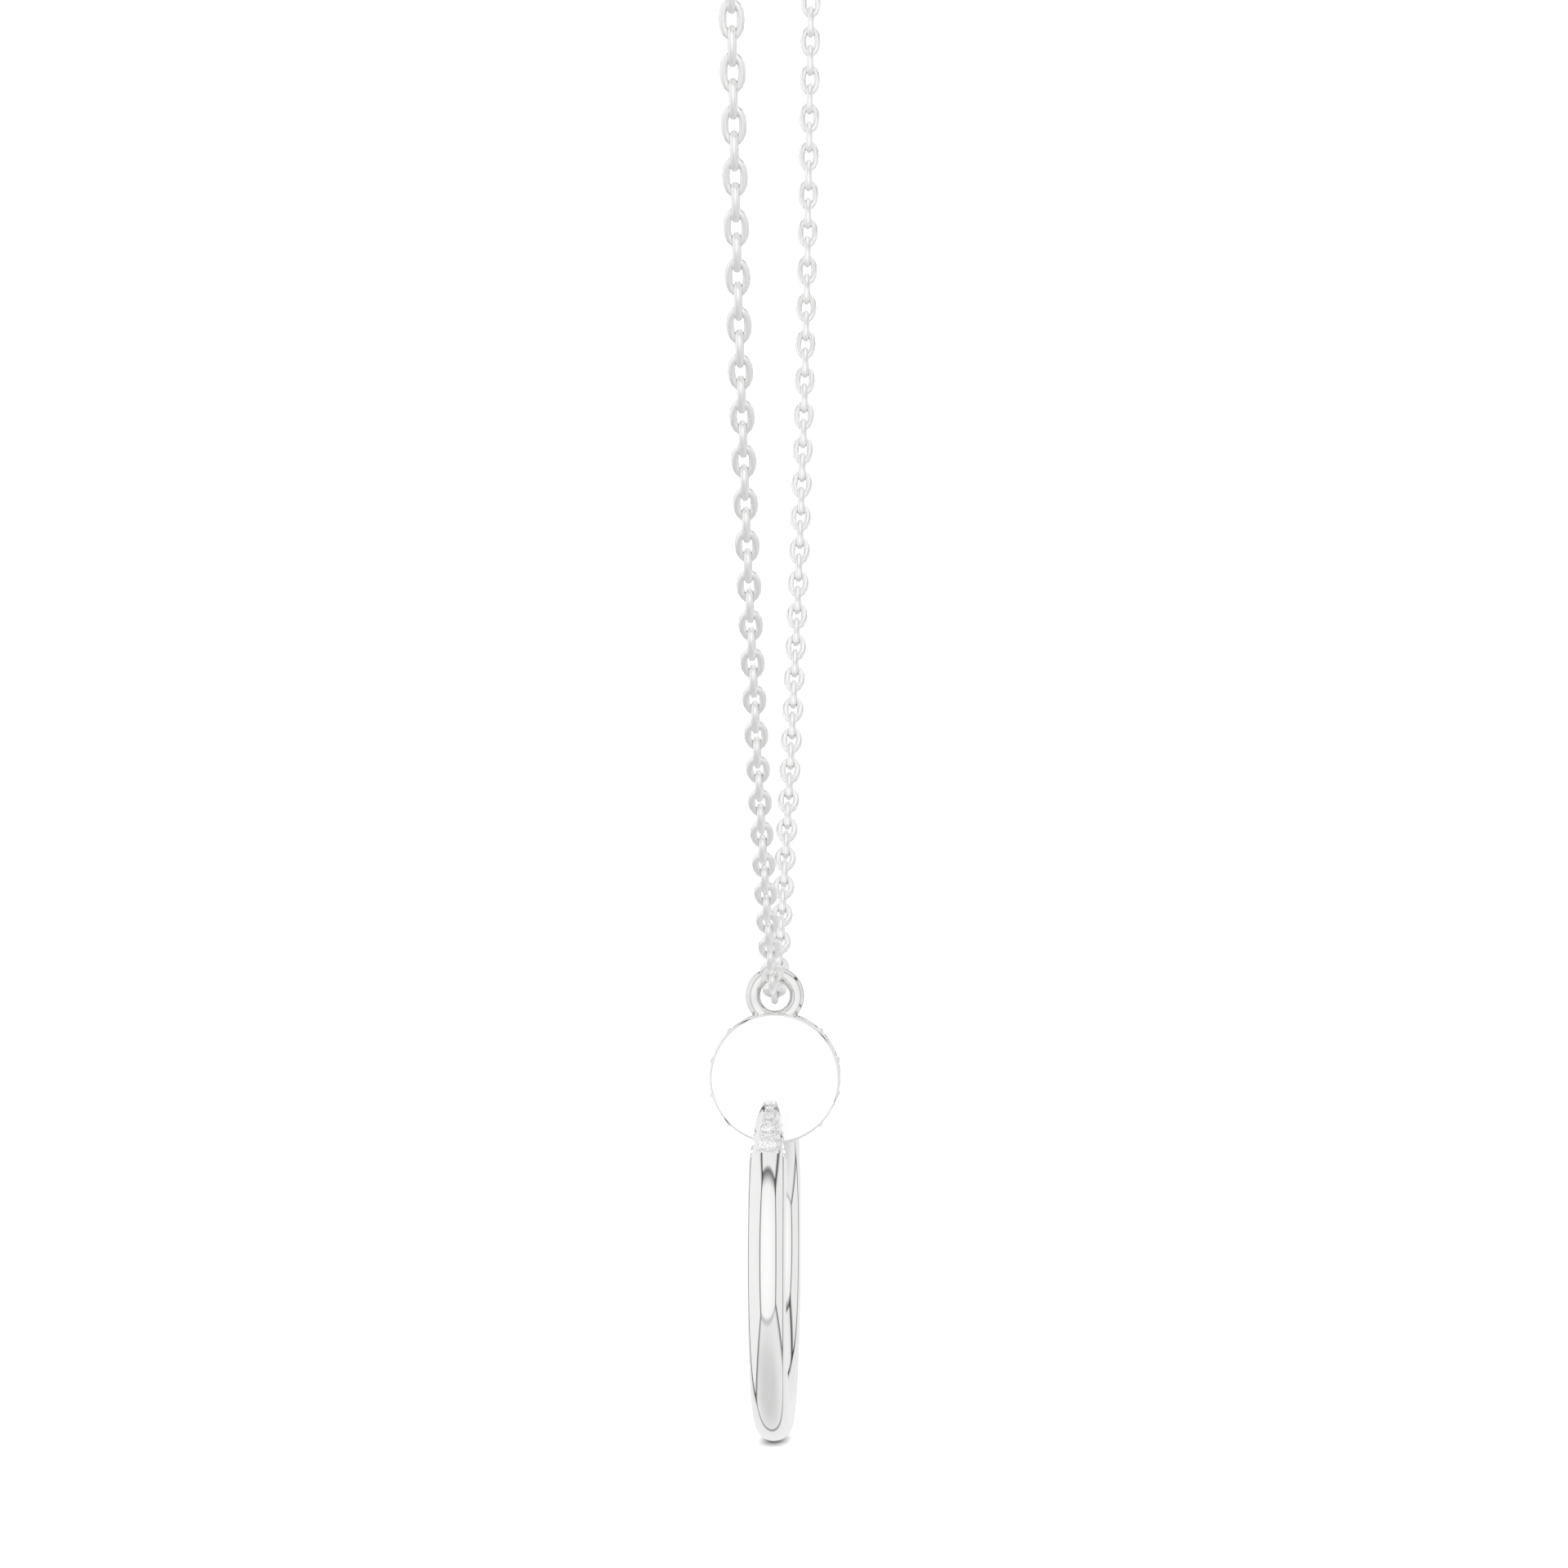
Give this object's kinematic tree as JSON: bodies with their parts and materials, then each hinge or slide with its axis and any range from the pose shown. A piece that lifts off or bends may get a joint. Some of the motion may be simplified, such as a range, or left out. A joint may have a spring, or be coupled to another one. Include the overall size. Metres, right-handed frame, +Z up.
{
  "type": "bent nail charm on a chain necklace",
  "caption": "Polished white metal charm in the shape of a round nail bent into a ring, with stones on its head and point, hung by a soldered ring on an oval cable chain.",
  "frame": {"origin": "underside of the clasp at the top of the chain's loop, where the necklace hangs from a neck or a hook", "axes": "+Z up, +X in the plane of the chain's loop towards the side where the nail's point and the face of its head are, +Y square to that plane"},
  "size_m": [0.113, 0.0072, 0.2057],
  "materials": {
    "charm_metal": "mirror polished white metal",
    "chain_metal": "polished white metal",
    "white_stone": "cut and polished, colourless"
  },
  "bodies": {
    "necklace": {"chain_back": "chain_metal", "chain_front": "chain_metal", "clasp": "chain_metal"},
    "charm": {"nail": "charm_metal", "point_stone_left_1": "white_stone", "point_stone_left_2": "white_stone", "point_stone_left_3": "white_stone", "point_stone_left_4": "white_stone", "point_stone_right_1": "white_stone", "point_stone_right_2": "white_stone", "point_stone_right_3": "white_stone", "point_stone_right_4": "white_stone", "point_stone_top_1": "white_stone", "point_stone_top_2": "white_stone", "point_stone_top_3": "white_stone", "point_stone_top_4": "white_stone", "rim_stone_01": "white_stone", "rim_stone_02": "white_stone", "rim_stone_03": "white_stone", "rim_stone_04": "white_stone", "rim_stone_05": "white_stone", "rim_stone_06": "white_stone", "rim_stone_07": "white_stone", "rim_stone_08": "white_stone", "rim_stone_09": "white_stone", "rim_stone_10": "white_stone", "rim_stone_11": "white_stone"}
  },
  "joints": [
    {"name": "charm_swing", "type": "hinge", "parent": "necklace", "child": "charm", "pos_m": [0, 0, -0.17883], "axis": [1, 0, 0], "continuous": true}
  ]
}
